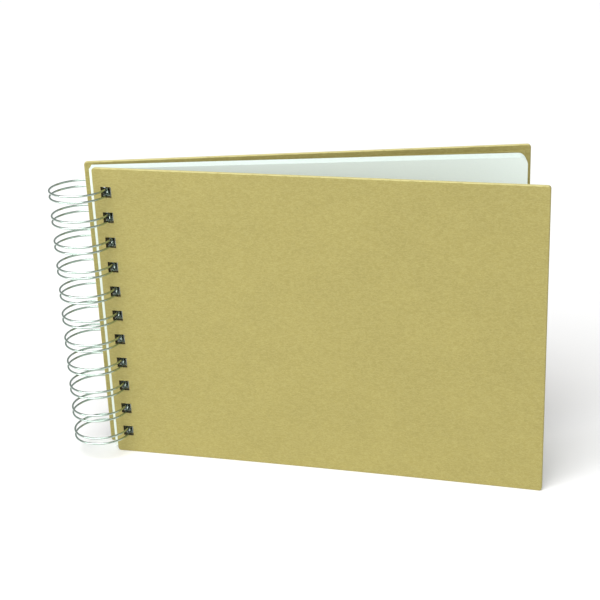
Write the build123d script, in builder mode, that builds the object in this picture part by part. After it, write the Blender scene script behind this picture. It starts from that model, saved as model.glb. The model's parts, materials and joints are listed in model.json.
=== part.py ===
"""A landscape twin-loop-wire sketchbook, standing upright on its bottom edges and a little open.

Frame: X runs from the spine to the fore-edge, Y from the front of the book to its back, Z is up.
The origin is the centre of the book's footprint, on the surface that it stands on.
Places in plan are worked out from the wire's ring axis first, and moved to the origin at the end.
"""

import os
from math import asin, cos, degrees, radians, sin, sqrt

from build123d import *

os.makedirs("parts", exist_ok=True)

# ---- Leaves (millimetres) --------------------------------------------------
leaf_count = 40
rear_group_count = 20         # leaves that turn as the rear half of the block
leaf_width = 208.0            # landscape, a little under A5
leaf_height = 148.0
leaf_thickness = 0.18
leaf_air = 0.015              # between one leaf and the next
leaf_corner = 3.5             # rounded corners at the fore-edge

# ---- Covers ----------------------------------------------------------------
fore_edge_square = 8.0        # how far a cover stands past a leaf, with their holes in line
head_square = 1.25            # at the top, and again at the bottom
cover_corner = 1.5            # radius of the four corners, seen from the front
board_thickness = 2.0         # greyboard core
paper_thickness = 0.2         # kraft wrap, and the liner pasted inside
turn_in = 15.0                # wrap folded over onto the inner face
liner_margin = 3.0            # turn-in left showing round the liner
liner_seat = 0.4              # liner pasted on the turn-in, round the window in it
edge_round = 0.5              # softness of the wrapped edges

# ---- Twin-loop wire --------------------------------------------------------
ring_radius = 14.0            # to the middle of the wire
wire_diameter = 1.0
wire_spacing = 3.1            # between the two wires of one loop
link_bend = 1.2               # where a loop turns into the link to the next
wire_stub = 1.5               # cut ends past the first and last loop
rear_hole_angle = 49.0        # where the rear cover hangs on the ring, from +X

# ---- Punched holes ---------------------------------------------------------
loop_pitch = 12.7             # two holes to the inch
end_margin = 8.0              # least from the last hole's middle to the leaf's end
hole_play = 0.6               # each side of the two wires
hole_inset = 6.6              # hole centre to the spine edge, in leaves and covers alike

# ---- Gaps through the closed book ------------------------------------------
rear_gap = 0.15               # rear cover to the last leaf
group_gap = 0.1               # rear half of the block to the front half
link_clearance = 0.2          # each side of the links, between first leaf and front cover

# ---- Standing pose (degrees, opening from the rear cover) --------------------
last_leaf_open = 2.45
first_leaf_open = 2.8
front_cover_open = 15.8

# ---- Worked out ------------------------------------------------------------
leaf_pitch = leaf_thickness + leaf_air
cover_width = leaf_width + fore_edge_square
cover_height = leaf_height + 2 * head_square
cover_thickness = board_thickness + 3 * paper_thickness
hole_size = wire_spacing + wire_diameter + 2 * hole_play
loop_count = int((leaf_height - 2 * end_margin) / loop_pitch) + 1
hole_span = (loop_count - 1) * loop_pitch
window_width = cover_width - 2 * turn_in
window_height = cover_height - 2 * turn_in
cover_middle = cover_width / 2 - hole_inset
leaf_middle = leaf_width / 2 - hole_inset

wire_radius = wire_diameter / 2
half_cover = cover_thickness / 2
rear_middle_y = ring_radius * sin(radians(rear_hole_angle))
rear_inner_y = rear_middle_y - half_cover
rear_outer_y = rear_middle_y + half_cover
first_leaf_front_y = rear_inner_y - rear_gap - leaf_count * leaf_pitch - group_gap
front_inner_y = first_leaf_front_y - 2 * link_clearance - wire_diameter


def ring_angle(y):
    """The angle on the ring, from +X, of the wire where it passes this y in the closed book."""
    return degrees(asin(y / ring_radius))


def leaf_y(index):
    """The middle of a leaf in the closed book, counting from the rear."""
    extra_gap = group_gap if index >= rear_group_count else 0
    return rear_inner_y - rear_gap - extra_gap - (index + 0.5) * leaf_pitch


def on_ring(angle, z=0.0):
    """The point on the ring at this angle, in plan from the ring axis."""
    return Vector(ring_radius * cos(radians(angle)), ring_radius * sin(radians(angle)), z)


front_hole_angle = ring_angle(front_inner_y - half_cover) - first_leaf_open
link_angle = ring_angle(first_leaf_front_y - link_clearance - wire_radius) - first_leaf_open

# The wire crosses the rear cover at a slant, so its hole line is centred between the wire's
# innermost reach at the outer face and its outermost reach at the inner face.
rear_hole_x = (
    sqrt((ring_radius - wire_radius) ** 2 - rear_outer_y**2)
    + sqrt((ring_radius + wire_radius) ** 2 - rear_inner_y**2)
) / 2
rear_hole = Vector(rear_hole_x, rear_middle_y, 0)

# The leaves are squared up in one block, so the wire passes their holes a little to the fore-edge
# side in the first leaf and as much to the spine side in the last.
leaf_hole_x = (
    sqrt(ring_radius**2 - leaf_y(0) ** 2) + sqrt(ring_radius**2 - leaf_y(leaf_count - 1) ** 2)
) / 2

# The footprint's box, from the ring axis: the ring at the left and rear, the rear cover's
# fore-edge at the right, and the front cover's rounded fore-edge at the front.
front_edge = Vector(
    cover_width - hole_inset - edge_round, edge_round - half_cover, 0
).rotate(Axis.Z, -front_cover_open)
box_left = -ring_radius - wire_radius
box_right = rear_hole_x - hole_inset + cover_width
box_rear = ring_radius + wire_radius
box_front = (on_ring(front_hole_angle) + front_edge).Y - edge_round
ring_axis = Vector(-(box_left + box_right) / 2, -(box_front + box_rear) / 2, cover_height / 2)


def sheet_plane(hole_line, opening, outward, lift):
    """The plane of a punched sheet at mid-height, its origin on the hole line.

    hole_line is a point from the ring axis, opening the sheet's turn from the rear cover,
    outward +1 or -1 for a normal to the rear or the front, and lift moves it along its normal.
    """
    along = Vector(1, 0, 0).rotate(Axis.Z, -opening)
    normal = Vector(0, outward, 0).rotate(Axis.Z, -opening)
    return Plane(ring_axis + hole_line + normal * lift, x_dir=along, z_dir=normal)


def hole_column(plane):
    """The column of square holes, as a sketch on a sheet's plane."""
    with BuildSketch(plane) as holes:
        with GridLocations(0, loop_pitch, 1, loop_count):
            Rectangle(hole_size, hole_size)
    return holes.sketch


def make_slab(plane, inset, thickness, rounding):
    """A cover-shaped slab, inset all round, with its face edges rounded over."""
    with BuildPart() as slab:
        with BuildSketch(plane):
            with Locations((cover_middle, 0)):
                RectangleRounded(
                    cover_width - 2 * inset, cover_height - 2 * inset, cover_corner - inset
                )
        extrude(amount=thickness)
        faces = slab.faces().sort_by(Axis(plane.origin, plane.z_dir))
        fillet(faces[0].edges() + faces[-1].edges(), rounding)
    return slab.part


def make_cover(side, plane):
    """Write one cover's greyboard, kraft wrap and liner; plane lies on its inner face."""
    wrap_plane = plane.offset(paper_thickness)
    board_plane = wrap_plane.offset(paper_thickness)
    wrap_depth = board_thickness + 2 * paper_thickness
    blank = make_slab(board_plane, paper_thickness, board_thickness, edge_round - paper_thickness)

    with BuildPart() as board:
        add(blank)
        extrude(hole_column(plane), amount=2 * cover_thickness, mode=Mode.SUBTRACT)
    board.part.label = f"{side}_cover_board"
    export_step(board.part, f"parts/{side}_cover_board.step")

    with BuildPart() as wrap:
        add(make_slab(wrap_plane, 0, wrap_depth, edge_round))
        add(blank, mode=Mode.SUBTRACT)
        with BuildSketch(wrap_plane):
            with Locations((cover_middle, 0)):
                Rectangle(window_width, window_height)
        extrude(amount=paper_thickness, mode=Mode.SUBTRACT)
        extrude(hole_column(plane), amount=2 * cover_thickness, mode=Mode.SUBTRACT)
    wrap.part.label = f"{side}_cover_wrap"
    export_step(wrap.part, f"parts/{side}_cover_wrap.step")

    with BuildPart() as liner:
        with BuildSketch(plane):
            with Locations((cover_middle, 0)):
                Rectangle(cover_width - 2 * liner_margin, cover_height - 2 * liner_margin)
                Rectangle(
                    window_width - 2 * liner_seat, window_height - 2 * liner_seat, mode=Mode.SUBTRACT
                )
        extrude(amount=paper_thickness)
        with BuildSketch(wrap_plane):
            with Locations((cover_middle, 0)):
                Rectangle(window_width, window_height)
        extrude(amount=paper_thickness)
        extrude(hole_column(plane), amount=2 * cover_thickness, mode=Mode.SUBTRACT)
    liner.part.label = f"{side}_cover_liner"
    export_step(liner.part, f"parts/{side}_cover_liner.step")


def make_leaf(number, hole_line, opening):
    """Write one punched leaf with rounded fore-edge corners."""
    plane = sheet_plane(hole_line, opening, 1, 0)
    with BuildPart() as leaf:
        with BuildSketch(plane):
            with Locations((leaf_middle, 0)):
                outline = Rectangle(leaf_width, leaf_height)
            fillet(outline.vertices().group_by(Axis.X)[-1], leaf_corner)
        extrude(amount=leaf_thickness / 2, both=True)
        extrude(hole_column(plane), amount=leaf_thickness, both=True, mode=Mode.SUBTRACT)
    leaf.part.label = f"leaf_{number:02d}"
    export_step(leaf.part, f"parts/leaf_{number:02d}.step")


# ---- Covers and leaves -----------------------------------------------------
make_cover("rear", sheet_plane(rear_hole, 0, 1, -half_cover))
make_cover("front", sheet_plane(on_ring(front_hole_angle), front_cover_open, -1, -half_cover))

for index in range(leaf_count):
    leaf_open = last_leaf_open + (first_leaf_open - last_leaf_open) * index / (leaf_count - 1)
    leaf_holes = Vector(leaf_hole_x, leaf_y(index), 0).rotate(Axis.Z, -leaf_open)
    make_leaf(leaf_count - index, leaf_holes, leaf_open)

# ---- Twin-loop wire --------------------------------------------------------
# The route runs down the book. Each loop leaves its link, goes once round the ring through the
# rear cover, turns back on itself inside the front cover's hole, and returns to the next link.
bend_turn = degrees(link_bend / ring_radius)
tip_turn = degrees(wire_spacing / 2 / ring_radius)
root_angle = link_angle + bend_turn
tip_start = front_hole_angle - tip_turn / 2 + 360.0
half_way = (root_angle + tip_start) / 2


def ring_tangent(angle):
    """The direction in which the ring runs as its angle grows."""
    return Vector(-sin(radians(angle)), cos(radians(angle)), 0)


def link_corner(z, side):
    """The start, middle and end of the bend from a link (side up or down) into a loop at z."""
    end = on_ring(root_angle, z)
    towards_link = ring_tangent(root_angle) * -link_bend
    centre = end + Vector(0, 0, side * link_bend)
    start = centre + towards_link
    middle = centre + (towards_link - Vector(0, 0, side * link_bend)) * sin(radians(45))
    return start, middle, end


def draw_loop(upper, arrive):
    """Draw one double loop, from the point where the wire arrives to the start of the next link."""
    lower = upper - wire_spacing
    start, middle, end = link_corner(upper, 1)
    Line(arrive, ring_axis + start)
    ThreePointArc(ring_axis + start, ring_axis + middle, ring_axis + end)
    upper_tip = ring_axis + on_ring(tip_start, upper)
    lower_tip = ring_axis + on_ring(tip_start, lower)
    tip = (upper_tip + lower_tip) / 2 + ring_tangent(tip_start) * (wire_spacing / 2)
    ThreePointArc(ring_axis + end, ring_axis + on_ring(half_way, upper), upper_tip)
    ThreePointArc(upper_tip, tip, lower_tip)
    start, middle, end = link_corner(lower, -1)
    ThreePointArc(lower_tip, ring_axis + on_ring(half_way, lower), ring_axis + end)
    ThreePointArc(ring_axis + end, ring_axis + middle, ring_axis + start)
    return ring_axis + start


with BuildPart() as binding_wire:
    with BuildLine() as route:
        first_upper = (hole_span + wire_spacing) / 2
        wire_top = ring_axis + link_corner(first_upper, 1)[0] + Vector(0, 0, wire_stub)
        place = wire_top
        for loop in range(loop_count):
            place = draw_loop(first_upper - loop * loop_pitch, place)
        Line(place, place - Vector(0, 0, wire_stub))
    with BuildSketch(Plane(wire_top, z_dir=(0, 0, -1))):
        Circle(wire_radius)
    sweep()
binding_wire.part.label = "binding_wire"
export_step(binding_wire.part, "parts/binding_wire.step")

front_hole_line = ring_axis + on_ring(front_hole_angle)
print(f"ring axis at x {ring_axis.X:.4f}, y {ring_axis.Y:.4f}")
print(f"front hole line at x {front_hole_line.X:.4f}, y {front_hole_line.Y:.4f}")
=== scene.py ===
"""Looks of a landscape twin-loop sketchbook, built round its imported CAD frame.

Metres, with X from the spine to the fore-edge, Y from the front of the book to its back and Z up.
Every flat piece takes its place, size and punched holes from the CAD sheet that it stands for.
"""

import json
from math import ceil, pi, radians
from typing import NamedTuple

import bmesh
import bpy
import numpy as np
from bpy.props import FloatProperty, FloatVectorProperty, IntProperty, PointerProperty
from mathutils import Matrix, Vector


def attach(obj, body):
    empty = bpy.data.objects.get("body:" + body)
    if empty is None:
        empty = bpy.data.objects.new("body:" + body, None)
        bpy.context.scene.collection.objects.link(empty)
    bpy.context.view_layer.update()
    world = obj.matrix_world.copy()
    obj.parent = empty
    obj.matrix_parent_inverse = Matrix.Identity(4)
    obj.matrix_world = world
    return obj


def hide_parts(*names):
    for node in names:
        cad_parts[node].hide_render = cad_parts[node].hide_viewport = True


bl_info = {
    "name": "Twin-loop sketchbook",
    "version": (1, 0, 0),
    "blender": (4, 5, 0),
    "location": "3D View > Sidebar > Sketchbook",
    "description": "Builds the covers, leaves, wire and stage of a twin-loop sketchbook",
    "category": "Object",
}

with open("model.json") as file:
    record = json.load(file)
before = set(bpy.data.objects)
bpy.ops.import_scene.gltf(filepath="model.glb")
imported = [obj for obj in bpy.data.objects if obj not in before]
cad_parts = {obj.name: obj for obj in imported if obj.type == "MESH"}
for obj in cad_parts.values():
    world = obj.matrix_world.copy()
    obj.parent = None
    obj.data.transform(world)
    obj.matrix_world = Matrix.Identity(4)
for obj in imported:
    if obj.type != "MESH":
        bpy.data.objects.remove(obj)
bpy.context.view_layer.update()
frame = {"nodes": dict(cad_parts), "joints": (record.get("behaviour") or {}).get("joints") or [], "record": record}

UP = np.array((0.0, 0.0, 1.0))
FRONT, REAR = -1, 1
SIDES = {"front": FRONT, "rear": REAR}
BODY_OF = {node: body for body, nodes in frame["record"]["behaviour"]["bodies"].items() for node in nodes}
LEAVES = sorted(node for node in BODY_OF if node.startswith("leaf_"))
WIRE_NODE = "binding_wire"


# ---- Settings ----------------------------------------------------------------
def length(name, description, default):
    """A length in metres that a user may change."""
    return FloatProperty(name=name, description=description, default=default, unit="LENGTH", precision=5)


def turn(name, description, default):
    """An angle, given in degrees, that a user may change."""
    return FloatProperty(name=name, description=description, default=radians(default), unit="ROTATION")


def colour(name, description, default):
    """A colour that a user may change."""
    return FloatVectorProperty(
        name=name, description=description, default=default, subtype="COLOR", size=3, min=0, max=1
    )


class CoverSettings(bpy.types.PropertyGroup):
    paper: length("Paper", "Thickness of the kraft wrap and of the liner", 0.0002)
    corner: length("Corner", "Radius of a cover's corners, seen from the front", 0.0015)
    edge_round: length("Edge round", "Softness of the wrapped edges", 0.0005)
    turn_in: length("Turn-in", "Wrap folded over onto the inner face", 0.015)
    liner_step: length("Liner step", "Width of the liner's slope down from the turn-in", 0.001)
    bow: length("Bow", "How far the front cover's foot bows in at its middle", 0.0012)
    # Widths of the upper-edge strips that are partly rubbed and partly lightened by painted top light.
    wrap_wear_and_top_light: length("Wrap wear", "Width of the rubbed strip along the wrap's upper edges", 0.0005)
    liner_wear_and_top_light: length("Liner wear", "Width of the rubbed strip along the liner's upper edges", 0.0003)
    kraft: colour("Kraft", "Colour of the kraft paper", (0.31, 0.267, 0.084))
    # Colour of the rubbed upper edges, lightened also as painted light from above.
    worn_and_top_lit: colour("Worn kraft", "Colour where the edges are rubbed", (0.6, 0.55, 0.25))
    board: colour("Greyboard", "Colour of the board in the punched holes", (0.07, 0.06, 0.035))


class LeafSettings(bpy.types.PropertyGroup):
    corner: length("Corner", "Radius of the two fore-edge corners", 0.0035)
    wave: length("Wave", "Height of the slow wave that all leaves share", 0.00008)
    scatter: length("Scatter", "How far a leaf may lie off its neighbours' edges", 0.00012)
    wear: length("Wear", "Width of the greyed strip round a leaf's edge", 0.0008)
    paper: colour("Drawing paper", "Colour of the leaves", (0.8, 0.89, 0.845))
    seed: IntProperty(name="Seed", description="Picks each leaf's scatter and tone", default=7, min=0)


class WireSettings(bpy.types.PropertyGroup):
    diameter: length("Diameter", "Thickness of the wire", 0.001)
    spacing: length("Spacing", "Between the two wires of one loop", 0.0031)
    bend: length("Link bend", "Where a loop turns into the link to the next", 0.0012)
    stub: length("Stub", "Cut ends past the first and last loop", 0.0015)
    metal: colour("Metal", "Colour of the wire", (0.46, 0.56, 0.5))


class StageSettings(bpy.types.PropertyGroup):
    floor_size: length("Floor size", "Side of the square floor", 8.0)
    floor: colour("Floor", "Colour of the floor", (0.9, 0.9, 0.9))
    key: FloatProperty(name="Key light", description="Strength of the wide light above", default=2.75, min=0)
    key_spread: turn("Key spread", "How wide the light above is, seen from the book", 50)
    fill: FloatProperty(
        name="Fill light", description="Power of the light at the spine side", default=13.0,
        unit="POWER", min=0,
    )
    fill_size: length("Fill size", "Side of the square light at the spine side", 0.9)
    sky: FloatProperty(
        name="Sky", description="Strength of the even light from all round", default=0.38, min=0
    )
    lens: FloatProperty(
        name="Lens", description="Focal length on a 36 mm sensor", default=80.86, unit="CAMERA", min=1
    )
    camera: FloatVectorProperty(
        name="Camera", description="Where the camera stands", default=(0.00509, -0.59819, 0.32263),
        subtype="TRANSLATION", unit="LENGTH", precision=5,
    )
    heading: turn("Heading", "The camera's turn about the vertical", 0.286)
    tilt: turn("Tilt", "The camera's tilt from straight down", 68.536)
    roll: turn("Roll", "The camera's turn about its own view", -2.348)


SETTINGS = {
    "sketchbook_cover": CoverSettings,
    "sketchbook_leaf": LeafSettings,
    "sketchbook_wire": WireSettings,
    "sketchbook_stage": StageSettings,
}


# ---- Sheets read from the frame ------------------------------------------------
HOLE_ZONE = (0.0006, 0.012)   # where a sheet's holes may lie, along from its spine edge
HOLE_END_MARGIN = 0.002       # and the least that they keep from its foot and head


class Sheet(NamedTuple):
    """A flat CAD sheet. A point is its corner plus so much along, up and inward."""

    side: int                # the side of the book that its outer face looks to
    corner: np.ndarray       # foot of the spine edge, on the outer face
    along: np.ndarray        # from the spine to the fore-edge
    inward: np.ndarray       # from the outer face through the sheet
    width: float
    height: float
    thickness: float
    hole_reach: np.ndarray   # the holes' two edges, along from the spine edge
    hole_edges: np.ndarray   # the holes' feet and heads, up from the foot

    def points(self, along, up, inward):
        """Points of the sheet, from arrays that fit together."""
        along, up, inward = (values[..., None] for values in np.broadcast_arrays(along, up, inward))
        return self.corner + along * self.along + up * UP + inward * self.inward


def node_points(node):
    """All points of a CAD node, as an array."""
    mesh = frame["nodes"][node].data
    points = np.empty(3 * len(mesh.vertices))
    mesh.vertices.foreach_get("co", points)
    return points.reshape(-1, 3)


def sheet_turn(points):
    """A sheet's turn in plan: the turn at which its reach across is least, closed in on in rounds."""
    best, spread = 0.0, radians(40)
    for _ in range(7):
        turns = best + spread * np.linspace(-1, 1, 81)
        across = np.outer(points[:, 1], np.cos(turns)) - np.outer(points[:, 0], np.sin(turns))
        best = turns[np.argmin(np.ptp(across, axis=0))]
        spread /= 20
    return best


def read_sheet(node, side=FRONT):
    """The place, size and punched holes of a CAD sheet, from its points alone."""
    points = node_points(node)
    angle = sheet_turn(points)
    along = np.array((np.cos(angle), np.sin(angle), 0.0))
    inward = -side * np.array((-np.sin(angle), np.cos(angle), 0.0))
    reach, depth, up = points @ along, points @ inward, points @ UP
    corner = along * reach.min() + inward * depth.min() + UP * up.min()
    reach, up = reach - reach.min(), up - up.min()
    nearest, furthest = HOLE_ZONE
    punched = (reach > nearest) & (reach < furthest)
    punched &= (up > HOLE_END_MARGIN) & (up < up.max() - HOLE_END_MARGIN)
    return Sheet(
        side, corner, along, inward, reach.max(), up.max(), np.ptp(depth),
        np.array((reach[punched].min(), reach[punched].max())), np.unique(up[punched].round(5)),
    )


# ---- Grids and patches -----------------------------------------------------------
class Patch(NamedTuple):
    """Part of a surface: points, quads of their numbers, and two measures at each point."""

    points: np.ndarray
    quads: np.ndarray
    flat: np.ndarray    # along and up, for a pattern that follows the sheet
    rim: np.ndarray     # distance in from the sheet's outline


def grid_lines(reach, corner, cuts, spacing):
    """Grid lines from 0 to the reach: some in each corner, one on each cut, none too far apart."""
    corner_lines = corner * np.linspace(0, 1, 6)
    marks = np.concatenate((corner_lines, reach - corner_lines, cuts))
    marks = np.unique(marks.round(7))
    gaps = zip(marks[:-1], marks[1:])
    runs = [np.linspace(low, high, ceil((high - low) / spacing), endpoint=False) for low, high in gaps]
    return np.append(np.concatenate(runs), marks[-1])


def draw_in(lines, corner, inset):
    """Lines near either end, moved in: the end ones by the inset, those across the corner by less."""
    if inset == 0:
        return lines
    from_start = np.clip(1 - lines / corner, 0, 1)
    from_end = np.clip(1 - (lines[-1] - lines) / corner, 0, 1)
    return lines + inset * (from_start - from_end)


def rounded_grid(across, up, spine_corner, fore_corner):
    """A grid with its corner patches pressed from squares to quarter discs.

    In a patch, each offset from the disc's centre is multiplied by the root of one less half the
    square of the other offset, both as shares of the radius, so that the outline becomes an arc.
    """
    u, v = np.meshgrid(across, up, indexing="ij")
    for radius, end_u, way_u in ((spine_corner, across[0], -1), (fore_corner, across[-1], 1)):
        if radius == 0:
            continue
        for end_v, way_v in ((up[0], -1), (up[-1], 1)):
            share_u = np.clip(way_u * (u - end_u) / radius + 1, 0, 1)
            share_v = np.clip(way_v * (v - end_v) / radius + 1, 0, 1)
            u = u + way_u * radius * share_u * (np.sqrt(1 - share_v**2 / 2) - 1)
            v = v + way_v * radius * share_v * (np.sqrt(1 - share_u**2 / 2) - 1)
    return u, v


def quads_of(rows, columns, keep=True):
    """The quads of a grid numbered row by row, in the order that faces the front of the book."""
    numbers = np.arange(rows * columns).reshape(rows, columns)
    quads = np.stack((numbers[:-1, :-1], numbers[1:, :-1], numbers[1:, 1:], numbers[:-1, 1:]), axis=-1)
    return quads[np.broadcast_to(keep, quads.shape[:2])]


def facing(quads, side):
    """The quads turned to face that side of the book."""
    return quads if side == FRONT else quads[:, ::-1]


def unpunched(sheet, across, up):
    """The cells of a grid that no hole takes away."""
    middle_u, middle_v = (across[1:] + across[:-1]) / 2, (up[1:] + up[:-1]) / 2
    in_column = (middle_u > sheet.hole_reach[0]) & (middle_u < sheet.hole_reach[1])
    in_row = np.searchsorted(sheet.hole_edges, middle_v) % 2 == 1
    return ~(in_column[:, None] & in_row)


def outside_window(sheet, across, up, margin):
    """The cells of a grid within the margin of the sheet's outline."""
    middle_u, middle_v = (across[1:] + across[:-1]) / 2, (up[1:] + up[:-1]) / 2
    inner_u = (middle_u > margin) & (middle_u < sheet.width - margin)
    inner_v = (middle_v > margin) & (middle_v < sheet.height - margin)
    return ~(inner_u[:, None] & inner_v)


def rim_distance(sheet, u, v):
    """Distance in from the nearest of a sheet's four edges."""
    return np.minimum(np.minimum(u, sheet.width - u), np.minimum(v, sheet.height - v))


def outline(grid):
    """A grid's outermost values, once round: along the foot, up the fore-edge, back and down."""
    return np.concatenate((grid[:-1, 0], grid[-1, :-1], grid[:0:-1, -1], grid[0, :0:-1]))


def sheet_patch(sheet, u, v, depth, quads):
    """A patch of a sheet at this depth, from its grid's two measures."""
    points = sheet.points(u, v, depth).reshape(-1, 3)
    flat = np.stack((u, v), axis=-1).reshape(-1, 2)
    return Patch(points, quads, flat, rim_distance(sheet, u, v).ravel())


def edge_patch(sheet, across, up, corner, profile, bow):
    """A cover's rounded edge: its outline carried through a profile of insets and depths."""
    loops = []
    for inset, depth in profile:
        u, v = rounded_grid(
            draw_in(across, corner, inset), draw_in(up, corner, inset), corner - inset, corner - inset
        )
        u, v = outline(u), outline(v)
        u, v = np.append(u, u[0]), np.append(v, v[0])
        loops.append((u, v, depth + bow(sheet, u, v)))
    u, v, depth = (np.array(values) for values in zip(*loops))
    return sheet_patch(sheet, u, v, depth, facing(quads_of(*u.shape), sheet.side))


def edge_profile(radius, thickness):
    """Insets and depths round an edge: a quarter turn off one face, across, and one onto the other."""
    swing = np.linspace(0, pi / 2, 6)
    insets, depths = radius * (1 - np.sin(swing)), radius * (1 - np.cos(swing))
    return np.stack(
        (np.append(insets, insets[::-1]), np.append(depths, thickness - depths[::-1])), axis=-1
    )


def hole_walls(keep, count, side):
    """Quads through a slab where a kept cell meets a cut one, from a grid to its twin count points on."""
    rows, columns = keep.shape[0] + 1, keep.shape[1] + 1
    numbers = np.arange(rows * columns).reshape(rows, columns)
    walls = []
    for gone_on, lower, upper in (
        (keep[:-1] & ~keep[1:], numbers[1:-1, :-1], numbers[1:-1, 1:]),
        (keep[1:] & ~keep[:-1], numbers[1:-1, 1:], numbers[1:-1, :-1]),
        (keep[:, 1:] & ~keep[:, :-1], numbers[:-1, 1:-1], numbers[1:, 1:-1]),
        (keep[:, :-1] & ~keep[:, 1:], numbers[1:, 1:-1], numbers[:-1, 1:-1]),
    ):
        low, high = lower[gone_on], upper[gone_on]
        walls.append(np.stack((high, low, low + count, high + count), axis=-1))
    return facing(np.concatenate(walls), side)


def add_piece(name, patches, node, material, loose_ends=()):
    """A new object from patches, merged where they meet. It rides with the CAD node it stands for."""
    counts = np.cumsum([0] + [len(patch.points) for patch in patches[:-1]])
    quads = np.concatenate([patch.quads + start for patch, start in zip(patches, counts)])
    points, flat, rim = (
        np.concatenate([getattr(patch, field) for patch in patches]) for field in ("points", "flat", "rim")
    )
    mesh = bpy.data.meshes.new(name)
    mesh.from_pydata(points.tolist(), [], quads.tolist() + [list(end) for end in loose_ends])
    corners = np.empty(len(mesh.loops), int)
    mesh.loops.foreach_get("vertex_index", corners)
    mesh.uv_layers.new(name="sheet").data.foreach_set("uv", flat[corners].astype(np.float32).ravel())
    mesh.attributes.new("rim", "FLOAT", "POINT").data.foreach_set("value", rim.astype(np.float32))
    merge_points(mesh)
    mesh.materials.append(material)
    piece = bpy.data.objects.new(name, mesh)
    bpy.context.scene.collection.objects.link(piece)
    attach(piece, BODY_OF[node])
    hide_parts(node)
    return piece


def merge_points(mesh):
    """Joins points that lie together and drops those that no face uses."""
    work = bmesh.new()
    work.from_mesh(mesh)
    bmesh.ops.delete(work, geom=[point for point in work.verts if not point.link_faces], context="VERTS")
    bmesh.ops.remove_doubles(work, verts=work.verts, dist=1e-7)
    work.to_mesh(mesh)
    work.free()


def give_wall(piece, thickness, offset):
    """Thickens a surface into a closed wall, to the back of its faces (-1) or to both sides (0)."""
    wall = piece.modifiers.new("wall", "SOLIDIFY")
    wall.thickness = thickness
    wall.offset = offset
    wall.use_even_offset = True
    surface = piece.data
    settled = piece.evaluated_get(bpy.context.evaluated_depsgraph_get())
    piece.data = bpy.data.meshes.new_from_object(settled)
    piece.modifiers.clear()
    bpy.data.meshes.remove(surface)
    piece.data.name = piece.name


def soften(piece, angle):
    """Smooth shading, with edges sharper than the angle kept sharp."""
    piece.data.shade_smooth()
    piece.data.set_sharp_from_angle(angle=radians(angle))


def set_tone(piece, tone):
    """Gives the whole piece one tone, which its material reads."""
    layer = piece.data.attributes.new("tone", "FLOAT", "POINT")
    layer.data.foreach_set("value", np.full(len(piece.data.vertices), tone, np.float32))


# ---- Node helpers ------------------------------------------------------------------
def add_node(tree, kind, settings=(), inputs=()):
    """A node with its own settings, and its inputs set to values or linked from sockets."""
    node = tree.nodes.new(kind)
    for key, value in dict(settings).items():
        setattr(node, key, value)
    for key, value in dict(inputs).items():
        if isinstance(value, bpy.types.NodeSocket):
            tree.links.new(value, node.inputs[key])
        else:
            node.inputs[key].default_value = value
    return node


def calculate(tree, operation, first, second=0.0, clamp=False):
    """One step of arithmetic."""
    settings = {"operation": operation, "use_clamp": clamp}
    return add_node(tree, "ShaderNodeMath", settings, {0: first, 1: second}).outputs[0]


def spread_range(tree, value, low, high, to_low=0.0, to_high=1.0, smooth=True):
    """A value carried from one range to another, and held at its ends."""
    settings = {"interpolation_type": "SMOOTHSTEP" if smooth else "LINEAR"}
    inputs = {0: value, 1: low, 2: high, 3: to_low, 4: to_high}
    return add_node(tree, "ShaderNodeMapRange", settings, inputs).outputs[0]


def mix_colours(tree, factor, first, second):
    """Two colours mixed by a factor."""
    inputs = {0: factor, 6: first, 7: second}
    return add_node(tree, "ShaderNodeMix", {"data_type": "RGBA"}, inputs).outputs[2]


def noise(tree, vector, scale, detail=2.0, roughness=0.5, distortion=0.0):
    """Noise from 0 to 1."""
    inputs = {"Vector": vector, "Scale": scale, "Detail": detail, "Roughness": roughness}
    inputs["Distortion"] = distortion
    return add_node(tree, "ShaderNodeTexNoise", {}, inputs).outputs["Fac"]


def rgba(colour_value, brightness=1.0):
    """A colour with its fourth value, made lighter or darker."""
    return (*(min(1.0, part * brightness) for part in colour_value), 1.0)


def new_group(name, inputs, outputs):
    """An empty shader node group with named number inputs (a Vector one first) and outputs."""
    group = bpy.data.node_groups.new(name, "ShaderNodeTree")
    group.interface.new_socket("Vector", in_out="INPUT", socket_type="NodeSocketVector")
    for label, default in inputs.items():
        socket = group.interface.new_socket(label, in_out="INPUT", socket_type="NodeSocketFloat")
        socket.default_value = default
    for label in outputs:
        group.interface.new_socket(label, in_out="OUTPUT", socket_type="NodeSocketFloat")
    return group, group.nodes.new("NodeGroupInput").outputs, group.nodes.new("NodeGroupOutput").inputs


def use_group(tree, group, inputs):
    """A group placed in a material, with its own values."""
    return add_node(tree, "ShaderNodeGroup", {"node_tree": group}, inputs).outputs


def fibre_group():
    """Paper fibres: thin crests of noise, drawn out long in four directions, light ones and dark ones."""
    if "paper fibres" in bpy.data.node_groups:
        return bpy.data.node_groups["paper fibres"]
    tree, given, result = new_group("paper fibres", {"Scale": 900.0, "Fineness": 0.05}, ("Light", "Dark"))
    found = []
    for number, angle in enumerate((12, 58, 104, 149)):
        turned = add_node(
            tree, "ShaderNodeMapping", {"vector_type": "POINT"},
            {"Vector": given["Vector"], "Location": (0.13 * number, 0.07, 0.21 * number),
             "Rotation": (0, radians(angle), 0), "Scale": (0.16, 1.0, 1.0)},
        ).outputs[0]
        cloud = noise(tree, turned, given["Scale"], 2.0, 0.5, 0.25)
        off_crest = calculate(tree, "ABSOLUTE", calculate(tree, "SUBTRACT", cloud, 0.5))
        crest = calculate(tree, "DIVIDE", off_crest, given["Fineness"])
        found.append(calculate(tree, "SUBTRACT", 1.0, crest, clamp=True))
    tree.links.new(calculate(tree, "MAXIMUM", found[0], found[2]), result["Light"])
    tree.links.new(calculate(tree, "MAXIMUM", found[1], found[3]), result["Dark"])
    return tree


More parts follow.
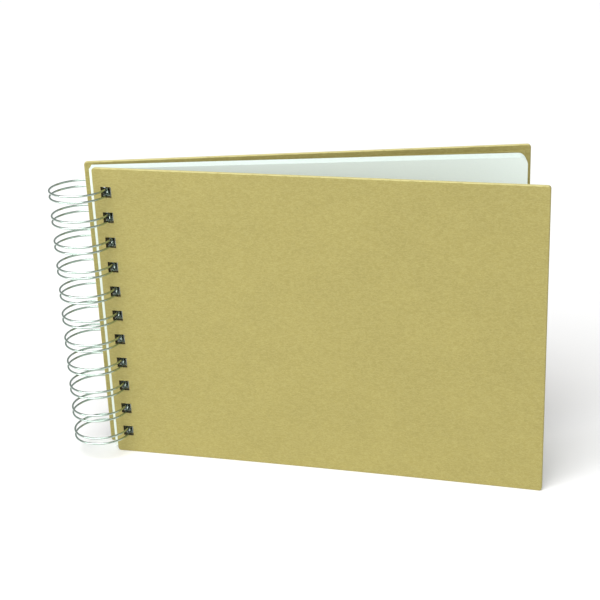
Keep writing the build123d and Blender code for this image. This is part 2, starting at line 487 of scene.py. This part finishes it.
def cloud_group():
    """Uneven tone: broad clouds and small blotches, from 0 to 1."""
    if "uneven tone" in bpy.data.node_groups:
        return bpy.data.node_groups["uneven tone"]
    tree, given, result = new_group("uneven tone", {"Broad": 40.0, "Small": 350.0, "Share": 0.5}, ("Tone",))
    broad = noise(tree, given["Vector"], given["Broad"], 3.0, 0.55)
    small = noise(tree, given["Vector"], given["Small"], 4.0, 0.6)
    mixed = add_node(tree, "ShaderNodeMix", {"data_type": "FLOAT"}, {0: given["Share"], 2: broad, 3: small})
    tree.links.new(spread_range(tree, mixed.outputs[0], 0.32, 0.68), result["Tone"])
    return tree


def wear_group():
    """Rubbed edges: 1 at a sheet's outline, gone at the width, broken up by noise."""
    if "rubbed edges" in bpy.data.node_groups:
        return bpy.data.node_groups["rubbed edges"]
    tree, given, result = new_group("rubbed edges", {"Rim": 0.0, "Width": 0.001}, ("Wear",))
    share = calculate(tree, "DIVIDE", given["Rim"], given["Width"])
    patchy = spread_range(tree, noise(tree, given["Vector"], 260.0, 4.0, 0.65), 0.3, 0.7, -0.35, 0.35)
    share = calculate(tree, "ADD", share, patchy)
    tree.links.new(spread_range(tree, share, 0.1, 1.0, 1.0, 0.0), result["Wear"])
    return tree


def new_material(name, base, roughness, specular, metallic=0.0):
    """A material with its constants on the shader's own sockets."""
    material = bpy.data.materials.new(name)
    material.use_nodes = True
    material.diffuse_color = rgba(base)
    shader = material.node_tree.nodes["Principled BSDF"]
    shader.inputs["Roughness"].default_value = roughness
    shader.inputs["Specular IOR Level"].default_value = specular
    shader.inputs["Metallic"].default_value = metallic
    return material, material.node_tree, shader


def object_place(tree):
    """Places in the object's own coordinates."""
    return add_node(tree, "ShaderNodeTexCoord").outputs["Object"]


def read_layer(tree, name):
    """A number that the piece carries at each point."""
    return add_node(tree, "ShaderNodeAttribute", {"attribute_name": name}).outputs["Fac"]


def add_relief(tree, shader, height, distance, strength):
    """Fine relief from a height."""
    inputs = {"Height": height, "Distance": distance, "Strength": strength}
    bump = add_node(tree, "ShaderNodeBump", {}, inputs)
    tree.links.new(bump.outputs["Normal"], shader.inputs["Normal"])


# ---- Finishes ------------------------------------------------------------------------
def kraft_paper(name, settings, wear_and_top_light_width):
    """Kraft paper: a soft uneven tan with light and dark fibres, dark specks, and upper edges lightened partly by
    rubbing and partly by painted light from above.
    """
    fresh_roughness, worn_roughness = 0.72, 0.84
    material, tree, shader = new_material(name, settings.kraft, fresh_roughness, 0.28)
    place = object_place(tree)
    fibres = use_group(tree, fibre_group(), {"Vector": place, "Scale": 1100.0, "Fineness": 0.045})
    tone = use_group(tree, cloud_group(), {"Vector": place, "Broad": 45.0, "Small": 420.0, "Share": 0.55})
    wear = use_group(
        tree, wear_group(), {"Vector": place, "Rim": read_layer(tree, "rim"), "Width": wear_and_top_light_width}
    )
    # Painted top light: the rubbed strip lightens fully only where the surface faces up, as light from above
    # would.
    facing_way = add_node(tree, "ShaderNodeTexCoord").outputs["Normal"]
    facing_up = add_node(tree, "ShaderNodeSeparateXYZ", {}, {0: facing_way}).outputs["Z"]
    worn_and_top_lit = calculate(tree, "MULTIPLY", wear["Wear"], spread_range(tree, facing_up, 0.1, 0.9, 0.1, 1.0))
    surface = mix_colours(tree, tone["Tone"], rgba(settings.kraft, 0.96), rgba(settings.kraft, 1.04))
    light = calculate(tree, "MULTIPLY", fibres["Light"], 0.16)
    surface = mix_colours(tree, light, surface, rgba(settings.worn_and_top_lit, 1.1))
    dark = calculate(tree, "MULTIPLY", fibres["Dark"], 0.20)
    surface = mix_colours(tree, dark, surface, rgba(settings.kraft, 0.72))
    spots = add_node(tree, "ShaderNodeTexVoronoi", {}, {"Vector": place, "Scale": 420.0})
    speck = spread_range(tree, spots.outputs["Distance"], 0.05, 0.12, 1.0, 0.0)
    chosen = spread_range(tree, noise(tree, place, 90.0, 2.0), 0.56, 0.62)
    speck = calculate(tree, "MULTIPLY", speck, calculate(tree, "MULTIPLY", chosen, 0.4))
    surface = mix_colours(tree, speck, surface, rgba(settings.kraft, 0.45))
    # Upper edges: partly real rubbing, partly a painted highlight from the light above.
    surface = mix_colours(tree, worn_and_top_lit, surface, rgba(settings.worn_and_top_lit))
    tree.links.new(surface, shader.inputs["Base Color"])
    roughness = spread_range(tree, worn_and_top_lit, 0.0, 1.0, fresh_roughness, worn_roughness, smooth=False)
    tree.links.new(roughness, shader.inputs["Roughness"])
    relief = calculate(tree, "SUBTRACT", fibres["Light"], fibres["Dark"])
    grain = noise(tree, place, 3800.0, 3.0, 0.6)
    add_relief(tree, shader, calculate(tree, "ADD", relief, grain), 0.00003, 0.35)
    return material


def greyboard(settings):
    """Recycled board: grey-brown, blotched, with light and dark scraps of fibre."""
    material, tree, shader = new_material("greyboard", settings.board, 0.9, 0.2)
    place = object_place(tree)
    fibres = use_group(tree, fibre_group(), {"Vector": place, "Scale": 1600.0, "Fineness": 0.09})
    tone = use_group(tree, cloud_group(), {"Vector": place, "Broad": 200.0, "Small": 1500.0, "Share": 0.6})
    surface = mix_colours(tree, tone["Tone"], rgba(settings.board, 0.8), rgba(settings.board, 1.2))
    surface = mix_colours(
        tree, calculate(tree, "MULTIPLY", fibres["Light"], 0.5), surface, rgba(settings.board, 1.6)
    )
    surface = mix_colours(
        tree, calculate(tree, "MULTIPLY", fibres["Dark"], 0.5), surface, rgba(settings.board, 0.5)
    )
    tree.links.new(surface, shader.inputs["Base Color"])
    add_relief(tree, shader, tone["Tone"], 0.0001, 0.5)
    return material


def drawing_paper(settings):
    """Cartridge paper: cool white, a fine tooth, and edges that are a little greyed by handling."""
    material, tree, shader = new_material("drawing_paper", settings.paper, 0.85, 0.25)
    place = object_place(tree)
    fibres = use_group(tree, fibre_group(), {"Vector": place, "Scale": 1500.0, "Fineness": 0.06})
    tone = use_group(tree, cloud_group(), {"Vector": place, "Broad": 25.0, "Small": 900.0, "Share": 0.4})
    wear = use_group(
        tree, wear_group(), {"Vector": place, "Rim": read_layer(tree, "rim"), "Width": settings.wear}
    )
    surface = mix_colours(tree, tone["Tone"], rgba(settings.paper, 0.985), rgba(settings.paper, 1.015))
    leaf = read_layer(tree, "tone")
    surface = mix_colours(tree, leaf, surface, rgba(settings.paper, 0.9))
    surface = mix_colours(
        tree, calculate(tree, "MULTIPLY", fibres["Dark"], 0.06), surface, rgba(settings.paper, 0.8)
    )
    surface = mix_colours(
        tree, calculate(tree, "MULTIPLY", wear["Wear"], 0.15), surface, rgba(settings.paper, 0.86)
    )
    tree.links.new(surface, shader.inputs["Base Color"])
    tooth = calculate(tree, "ADD", noise(tree, place, 2600.0, 4.0, 0.6), fibres["Light"])
    add_relief(tree, shader, tooth, 0.00002, 0.4)
    return material


def silver_wire(settings):
    """Drawn wire: satin silver with faint streaks along it and a slightly uneven polish."""
    material, tree, shader = new_material("silver_wire", settings.metal, 0.3, 0.5, metallic=1.0)
    follows = add_node(tree, "ShaderNodeUVMap", {"uv_map": "sheet"}).outputs[0]
    drawn = add_node(tree, "ShaderNodeMapping", {}, {"Vector": follows, "Scale": (120.0, 9000.0, 1.0)})
    streaks = noise(tree, drawn.outputs[0], 1.0, 3.0, 0.6)
    polish = noise(tree, object_place(tree), 700.0, 3.0, 0.6)
    tree.links.new(spread_range(tree, polish, 0.3, 0.7, 0.16, 0.26), shader.inputs["Roughness"])
    shade = spread_range(tree, streaks, 0.25, 0.75, 0.0, 1.0)
    surface = mix_colours(tree, shade, rgba(settings.metal, 0.9), rgba(settings.metal, 1.06))
    tree.links.new(surface, shader.inputs["Base Color"])
    add_relief(tree, shader, streaks, 0.000006, 0.3)
    return material


# ---- Pieces ----------------------------------------------------------------------------
COVER_SPACING = 0.012         # furthest that grid lines lie apart
LEAF_SPACING = 0.014
LEAF_WAVE_LENGTHS = (0.11, 0.19)   # of the leaves' slow wave, along and up
WIRE_SIDES = 16
RING_STEPS = 64               # points round each pass of a loop


def cover_bow(settings, side):
    """How a cover bows: in from its outer face, a half sine along it that fades from foot to head."""
    depth = settings.bow if side == FRONT else 0.0

    def bow(sheet, u, v):
        return depth * np.sin(pi * u / sheet.width) * (1 - v / sheet.height)

    return bow


def cover_grid(sheet, corner, cuts=()):
    """Grid lines across and up a cover's sheet, on its holes' edges and on the cuts from each edge."""
    cuts = np.array(cuts)
    across = np.concatenate((sheet.hole_reach, cuts, sheet.width - cuts))
    up = np.concatenate((sheet.hole_edges, cuts, sheet.height - cuts))
    return (grid_lines(sheet.width, corner, across, COVER_SPACING),
            grid_lines(sheet.height, corner, up, COVER_SPACING))


def cover_slab(sheet, across, up, corner, profile, bow, keep_inner):
    """A cover's outer face, rounded edge and inner face, as patches that meet."""
    patches = [edge_patch(sheet, across, up, corner, profile, bow)]
    keep_outer = unpunched(sheet, across, up)
    for (inset, depth), keep, side in (
        (profile[0], keep_outer, sheet.side), (profile[-1], keep_inner, -sheet.side)
    ):
        u, v = rounded_grid(
            draw_in(across, corner, inset), draw_in(up, corner, inset), corner - inset, corner - inset
        )
        quads = facing(quads_of(*u.shape, keep), side)
        patches.append(sheet_patch(sheet, u, v, depth + bow(sheet, u, v), quads))
    return patches


def build_wrap(name, side, settings, material):
    """The kraft wrap: over the outer face, round the edges and turned in onto the inner face."""
    node = f"{name}_cover_wrap"
    sheet = read_sheet(node, side)
    across, up = cover_grid(sheet, settings.corner, (settings.turn_in,))
    keep = unpunched(sheet, across, up) & outside_window(sheet, across, up, settings.turn_in)
    profile = edge_profile(settings.edge_round, sheet.thickness)
    patches = cover_slab(sheet, across, up, settings.corner, profile, cover_bow(settings, side), keep)
    piece = add_piece(f"{name}_kraft_wrap", patches, node, material)
    give_wall(piece, settings.paper, -1)
    soften(piece, 50)


def build_board(name, side, settings, material):
    """The greyboard inside a cover: a slab with rounded edges and walled holes."""
    node = f"{name}_cover_board"
    sheet = read_sheet(node, side)
    corner = settings.corner - settings.paper
    across, up = cover_grid(sheet, corner)
    keep = unpunched(sheet, across, up)
    profile = edge_profile(settings.edge_round - settings.paper, sheet.thickness)
    patches = cover_slab(sheet, across, up, corner, profile, cover_bow(settings, side), keep)
    outer, inner = patches[1], patches[2]
    walls = hole_walls(keep, len(outer.points), side)
    points, flat, rim = (
        np.concatenate((getattr(outer, field), getattr(inner, field))) for field in ("points", "flat", "rim")
    )
    patches.append(Patch(points, walls, flat, rim))
    piece = add_piece(f"{name}_board", patches, node, material)
    soften(piece, 40)


def build_liner(name, side, settings, material):
    """The liner: pasted over the turn-in and, a smooth step lower, on the board inside it."""
    node = f"{name}_cover_liner"
    sheet = read_sheet(node, side)
    wrap = read_sheet(f"{name}_cover_wrap", side)
    margin = (wrap.width - sheet.width) / 2
    ledge = settings.turn_in - margin
    across, up = cover_grid(sheet, 0.0, ledge + settings.liner_step * np.linspace(0, 1, 5))
    u, v = rounded_grid(across, up, 0, 0)
    bow = cover_bow(settings, side)(wrap, u + margin, v + margin)
    down = np.clip((rim_distance(sheet, u, v) - ledge) / settings.liner_step, 0, 1)
    down = down**2 * (3 - 2 * down)
    depth = sheet.thickness - settings.paper * down + bow
    quads = facing(quads_of(*u.shape, unpunched(sheet, across, up)), -side)
    piece = add_piece(
        f"{name}_liner", [sheet_patch(sheet, u, v, depth, quads)], node, material
    )
    give_wall(piece, settings.paper, -1)
    soften(piece, 40)


def build_leaf(node, settings, material, shift, tone):
    """One leaf: a thin punched sheet with a slow wave, moved a little off its neighbours."""
    sheet = read_sheet(node)
    across = grid_lines(sheet.width, settings.corner, sheet.hole_reach, LEAF_SPACING)
    up = grid_lines(sheet.height, settings.corner, sheet.hole_edges, LEAF_SPACING)
    u, v = rounded_grid(across, up, 0, settings.corner)
    turns = u / LEAF_WAVE_LENGTHS[0] + v / LEAF_WAVE_LENGTHS[1]
    wave = settings.wave * np.sin(2 * pi * turns) * np.sin(pi * u / sheet.width)
    quads = quads_of(*u.shape, unpunched(sheet, across, up))
    patch = sheet_patch(sheet, u, v, sheet.thickness / 2 + wave, quads)
    patch = patch._replace(points=patch.points + shift[0] * sheet.along + shift[1] * UP)
    piece = add_piece(node.replace("leaf", "page"), [patch], node, material)
    give_wall(piece, sheet.thickness, 0)
    set_tone(piece, tone)
    soften(piece, 40)


def wire_line(settings):
    """The wire's line: ring angle, offset along the ring's tangent, height and heading at each point.

    A loop leaves its link in a quarter turn, goes round the ring, turns back in a half circle at
    the tip, goes round again and turns down into the next link. The heading is the wire's
    direction in the plane of the ring's tangent and the vertical.
    """
    points = node_points(WIRE_NODE)
    axis = Vector(frame["joints"][0]["pos_m"])
    top = points[:, 2].max()
    start = points[points[:, 2] > top - 0.0001].mean(axis=0)
    radius = axis.x - points[:, 0].min() - settings.diameter / 2
    root = np.arctan2(start[1] - axis.y, start[0] - axis.x) + np.arctan2(settings.bend, radius)
    front_hole = Vector(frame["joints"][-1]["pos_m"])
    tip_turn = settings.spacing / 2 / radius
    tip = np.arctan2(front_hole.y - axis.y, front_hole.x - axis.x) - tip_turn / 2 + 2 * pi
    first = top - settings.stub - settings.bend
    holes = read_sheet(LEAVES[0]).hole_edges
    pitch, loops = (holes[-2] - holes[0]) / (len(holes) / 2 - 1), len(holes) // 2

    quarter, half = np.linspace(0, pi / 2, 6), np.linspace(0, pi, 12)[1:-1]
    ring = np.linspace(root, tip, RING_STEPS)
    bend, gap = settings.bend, settings.spacing
    level = np.ones_like(ring)
    angle = np.concatenate((np.full(6, root), ring[1:], np.full(10, tip), ring[::-1], np.full(5, root)))
    offset = np.concatenate(
        (-bend * np.cos(quarter), 0 * ring[1:], gap / 2 * np.sin(half), 0 * ring, -bend * np.sin(quarter[1:]))
    )
    height = np.concatenate((
        bend - bend * np.sin(quarter), 0 * ring[1:], gap / 2 * (np.cos(half) - 1), -gap * level,
        -gap - bend + bend * np.cos(quarter[1:]),
    ))
    heading = np.concatenate((quarter - pi / 2, 0 * ring[1:], -half, -pi * level, -pi + quarter[1:]))

    angle, offset, heading = (np.tile(values, loops) for values in (angle, offset, heading))
    height = (first - pitch * np.arange(loops)[:, None] + height).ravel()
    angle = np.concatenate(([root], angle, [root]))
    offset = np.concatenate(([-bend], offset, [-bend]))
    heading = np.concatenate(([-pi / 2], heading, [-pi / 2]))
    height = np.concatenate(([top], height, [height[-1] - settings.stub]))
    return axis, radius, angle, offset, height, heading


def build_wire(settings, material):
    """The wire: a circle carried along its line, square to the heading."""
    axis, radius, angle, offset, height, heading = wire_line(settings)
    none = np.zeros_like(angle)
    outward = np.stack((np.cos(angle), np.sin(angle), none), axis=-1)
    tangent = np.stack((-np.sin(angle), np.cos(angle), none), axis=-1)
    line = np.array((axis.x, axis.y, 0.0)) + radius * outward + offset[:, None] * tangent
    line += height[:, None] * UP
    aside = np.sin(heading)[:, None] * tangent - np.cos(heading)[:, None] * UP
    swing = np.linspace(0, 2 * pi, WIRE_SIDES + 1)
    ring = np.cos(swing)[:, None] * outward[:, None] + np.sin(swing)[:, None] * aside[:, None]
    points = line[:, None] + settings.diameter / 2 * ring
    run = np.concatenate(([0], np.cumsum(np.linalg.norm(np.diff(line, axis=0), axis=1))))
    flat = np.stack(np.broadcast_arrays(run[:, None], swing * settings.diameter / 2), axis=-1)
    count = len(line)
    quads = quads_of(count, WIRE_SIDES + 1)[:, ::-1]
    rim = np.zeros(count * (WIRE_SIDES + 1))
    patch = Patch(points.reshape(-1, 3), quads, flat.reshape(-1, 2), rim)
    first = np.arange(WIRE_SIDES)
    last = (count - 1) * (WIRE_SIDES + 1) + first[::-1]
    ends = [first.tolist(), last.tolist()]
    piece = add_piece("twin_loop_wire", [patch], WIRE_NODE, material, ends)
    soften(piece, 60)


# ---- Operators ---------------------------------------------------------------------------
class SKETCHBOOK_OT_add_covers(bpy.types.Operator):
    """Build each cover's greyboard, kraft wrap and liner"""

    bl_idname = "sketchbook.add_covers"
    bl_label = "Add covers"

    def execute(self, context):
        settings = context.scene.sketchbook_cover
        board = greyboard(settings)
        wrap = kraft_paper("kraft_paper", settings, settings.wrap_wear_and_top_light)
        liner = kraft_paper("kraft_liner", settings, settings.liner_wear_and_top_light)
        for name, side in SIDES.items():
            build_board(name, side, settings, board)
            build_wrap(name, side, settings, wrap)
            build_liner(name, side, settings, liner)
        return {"FINISHED"}


class SKETCHBOOK_OT_add_leaves(bpy.types.Operator):
    """Build the punched leaves"""

    bl_idname = "sketchbook.add_leaves"
    bl_label = "Add leaves"

    def execute(self, context):
        settings = context.scene.sketchbook_leaf
        material = drawing_paper(settings)
        chance = np.random.default_rng(settings.seed)
        for node in LEAVES:
            shift = settings.scatter * chance.uniform(-1, 1, 2)
            build_leaf(node, settings, material, shift, chance.uniform(0, 1))
        return {"FINISHED"}


class SKETCHBOOK_OT_add_wire(bpy.types.Operator):
    """Build the twin-loop binding wire"""

    bl_idname = "sketchbook.add_wire"
    bl_label = "Add wire"

    def execute(self, context):
        settings = context.scene.sketchbook_wire
        build_wire(settings, silver_wire(settings))
        return {"FINISHED"}


AIM = (0.0, 0.0, 0.08)              # what the lights look at
KEY_PLACE = (-0.35, -1.0, 1.8)
FILL_PLACE = (-1.3, -0.8, 0.5)


def add_light(name, kind, place, strength):
    """A light at the place, aimed at the book's middle."""
    light = bpy.data.lights.new(name, kind)
    light.energy = strength
    lamp = bpy.data.objects.new(name, light)
    aim = (Vector(AIM) - Vector(place)).to_track_quat("-Z", "Y").to_matrix().to_4x4()
    lamp.matrix_world = Matrix.Translation(place) @ aim
    bpy.context.scene.collection.objects.link(lamp)
    return light


def add_floor(settings):
    """The plain floor, with a barely uneven matt finish."""
    half = settings.floor_size / 2
    mesh = bpy.data.meshes.new("floor")
    corners = [(-half, -half, 0), (half, -half, 0), (half, half, 0), (-half, half, 0)]
    mesh.from_pydata(corners, [], [(0, 1, 2, 3)])
    material, tree, shader = new_material("pale_floor", settings.floor, 0.9, 0.1)
    tone = use_group(
        tree, cloud_group(), {"Vector": object_place(tree), "Broad": 1.5, "Small": 30.0, "Share": 0.3}
    )
    surface = mix_colours(tree, tone["Tone"], rgba(settings.floor, 0.995), rgba(settings.floor, 1.005))
    tree.links.new(surface, shader.inputs["Base Color"])
    mesh.materials.append(material)
    floor = bpy.data.objects.new("floor", mesh)
    bpy.context.scene.collection.objects.link(floor)


def add_sky(settings):
    """An even white sky: full strength where the camera sees it, less as light."""
    world = bpy.data.worlds.new("sky")
    bpy.context.scene.world = world
    world.use_nodes = True
    tree = world.node_tree
    background = tree.nodes["Background"]
    seen = add_node(tree, "ShaderNodeLightPath").outputs["Is Camera Ray"]
    strength = spread_range(tree, seen, 0.0, 1.0, settings.sky, 1.0, smooth=False)
    background.inputs["Color"].default_value = (1, 1, 1, 1)
    tree.links.new(strength, background.inputs["Strength"])


class SKETCHBOOK_OT_add_stage(bpy.types.Operator):
    """Add the floor, the lights and the camera"""

    bl_idname = "sketchbook.add_stage"
    bl_label = "Add stage"

    def execute(self, context):
        settings = context.scene.sketchbook_stage
        add_floor(settings)
        add_sky(settings)
        add_light("key", "SUN", KEY_PLACE, settings.key).angle = settings.key_spread
        add_light("fill", "AREA", FILL_PLACE, settings.fill).size = settings.fill_size
        lens = bpy.data.cameras.new("camera")
        lens.sensor_width = 36.0
        lens.lens = settings.lens
        lens.clip_start = 0.01
        camera = bpy.data.objects.new("camera", lens)
        camera.matrix_world = (
            Matrix.Translation(settings.camera)
            @ Matrix.Rotation(settings.heading, 4, "Z")
            @ Matrix.Rotation(settings.tilt, 4, "X")
            @ Matrix.Rotation(settings.roll, 4, "Z")
        )
        context.scene.collection.objects.link(camera)
        context.scene.camera = camera
        context.scene.view_settings.view_transform = "Standard"
        return {"FINISHED"}


OPERATORS = (
    SKETCHBOOK_OT_add_stage,
    SKETCHBOOK_OT_add_covers,
    SKETCHBOOK_OT_add_leaves,
    SKETCHBOOK_OT_add_wire,
)


class SKETCHBOOK_PT_panel(bpy.types.Panel):
    """The sketchbook's operators and settings, in the sidebar"""

    bl_idname = "SKETCHBOOK_PT_panel"
    bl_label = "Sketchbook"
    bl_space_type = "VIEW_3D"
    bl_region_type = "UI"
    bl_category = "Sketchbook"

    def draw(self, context):
        for operator in OPERATORS:
            self.layout.operator(operator.bl_idname)
        for key in SETTINGS:
            box = self.layout.box()
            settings = getattr(context.scene, key)
            for name in settings.bl_rna.properties.keys():
                if name not in ("rna_type", "name"):
                    box.prop(settings, name)


CLASSES = (*SETTINGS.values(), *OPERATORS, SKETCHBOOK_PT_panel)


def register():
    for cls in CLASSES:
        bpy.utils.register_class(cls)
    for key, group in SETTINGS.items():
        setattr(bpy.types.Scene, key, PointerProperty(type=group))


def unregister():
    for key in SETTINGS:
        delattr(bpy.types.Scene, key)
    for cls in reversed(CLASSES):
        bpy.utils.unregister_class(cls)


def main():
    register()
    bpy.ops.sketchbook.add_stage()
    bpy.ops.sketchbook.add_covers()
    bpy.ops.sketchbook.add_leaves()
    bpy.ops.sketchbook.add_wire()
    bpy.context.view_layer.update()


if __name__ == "__main__":
    main()
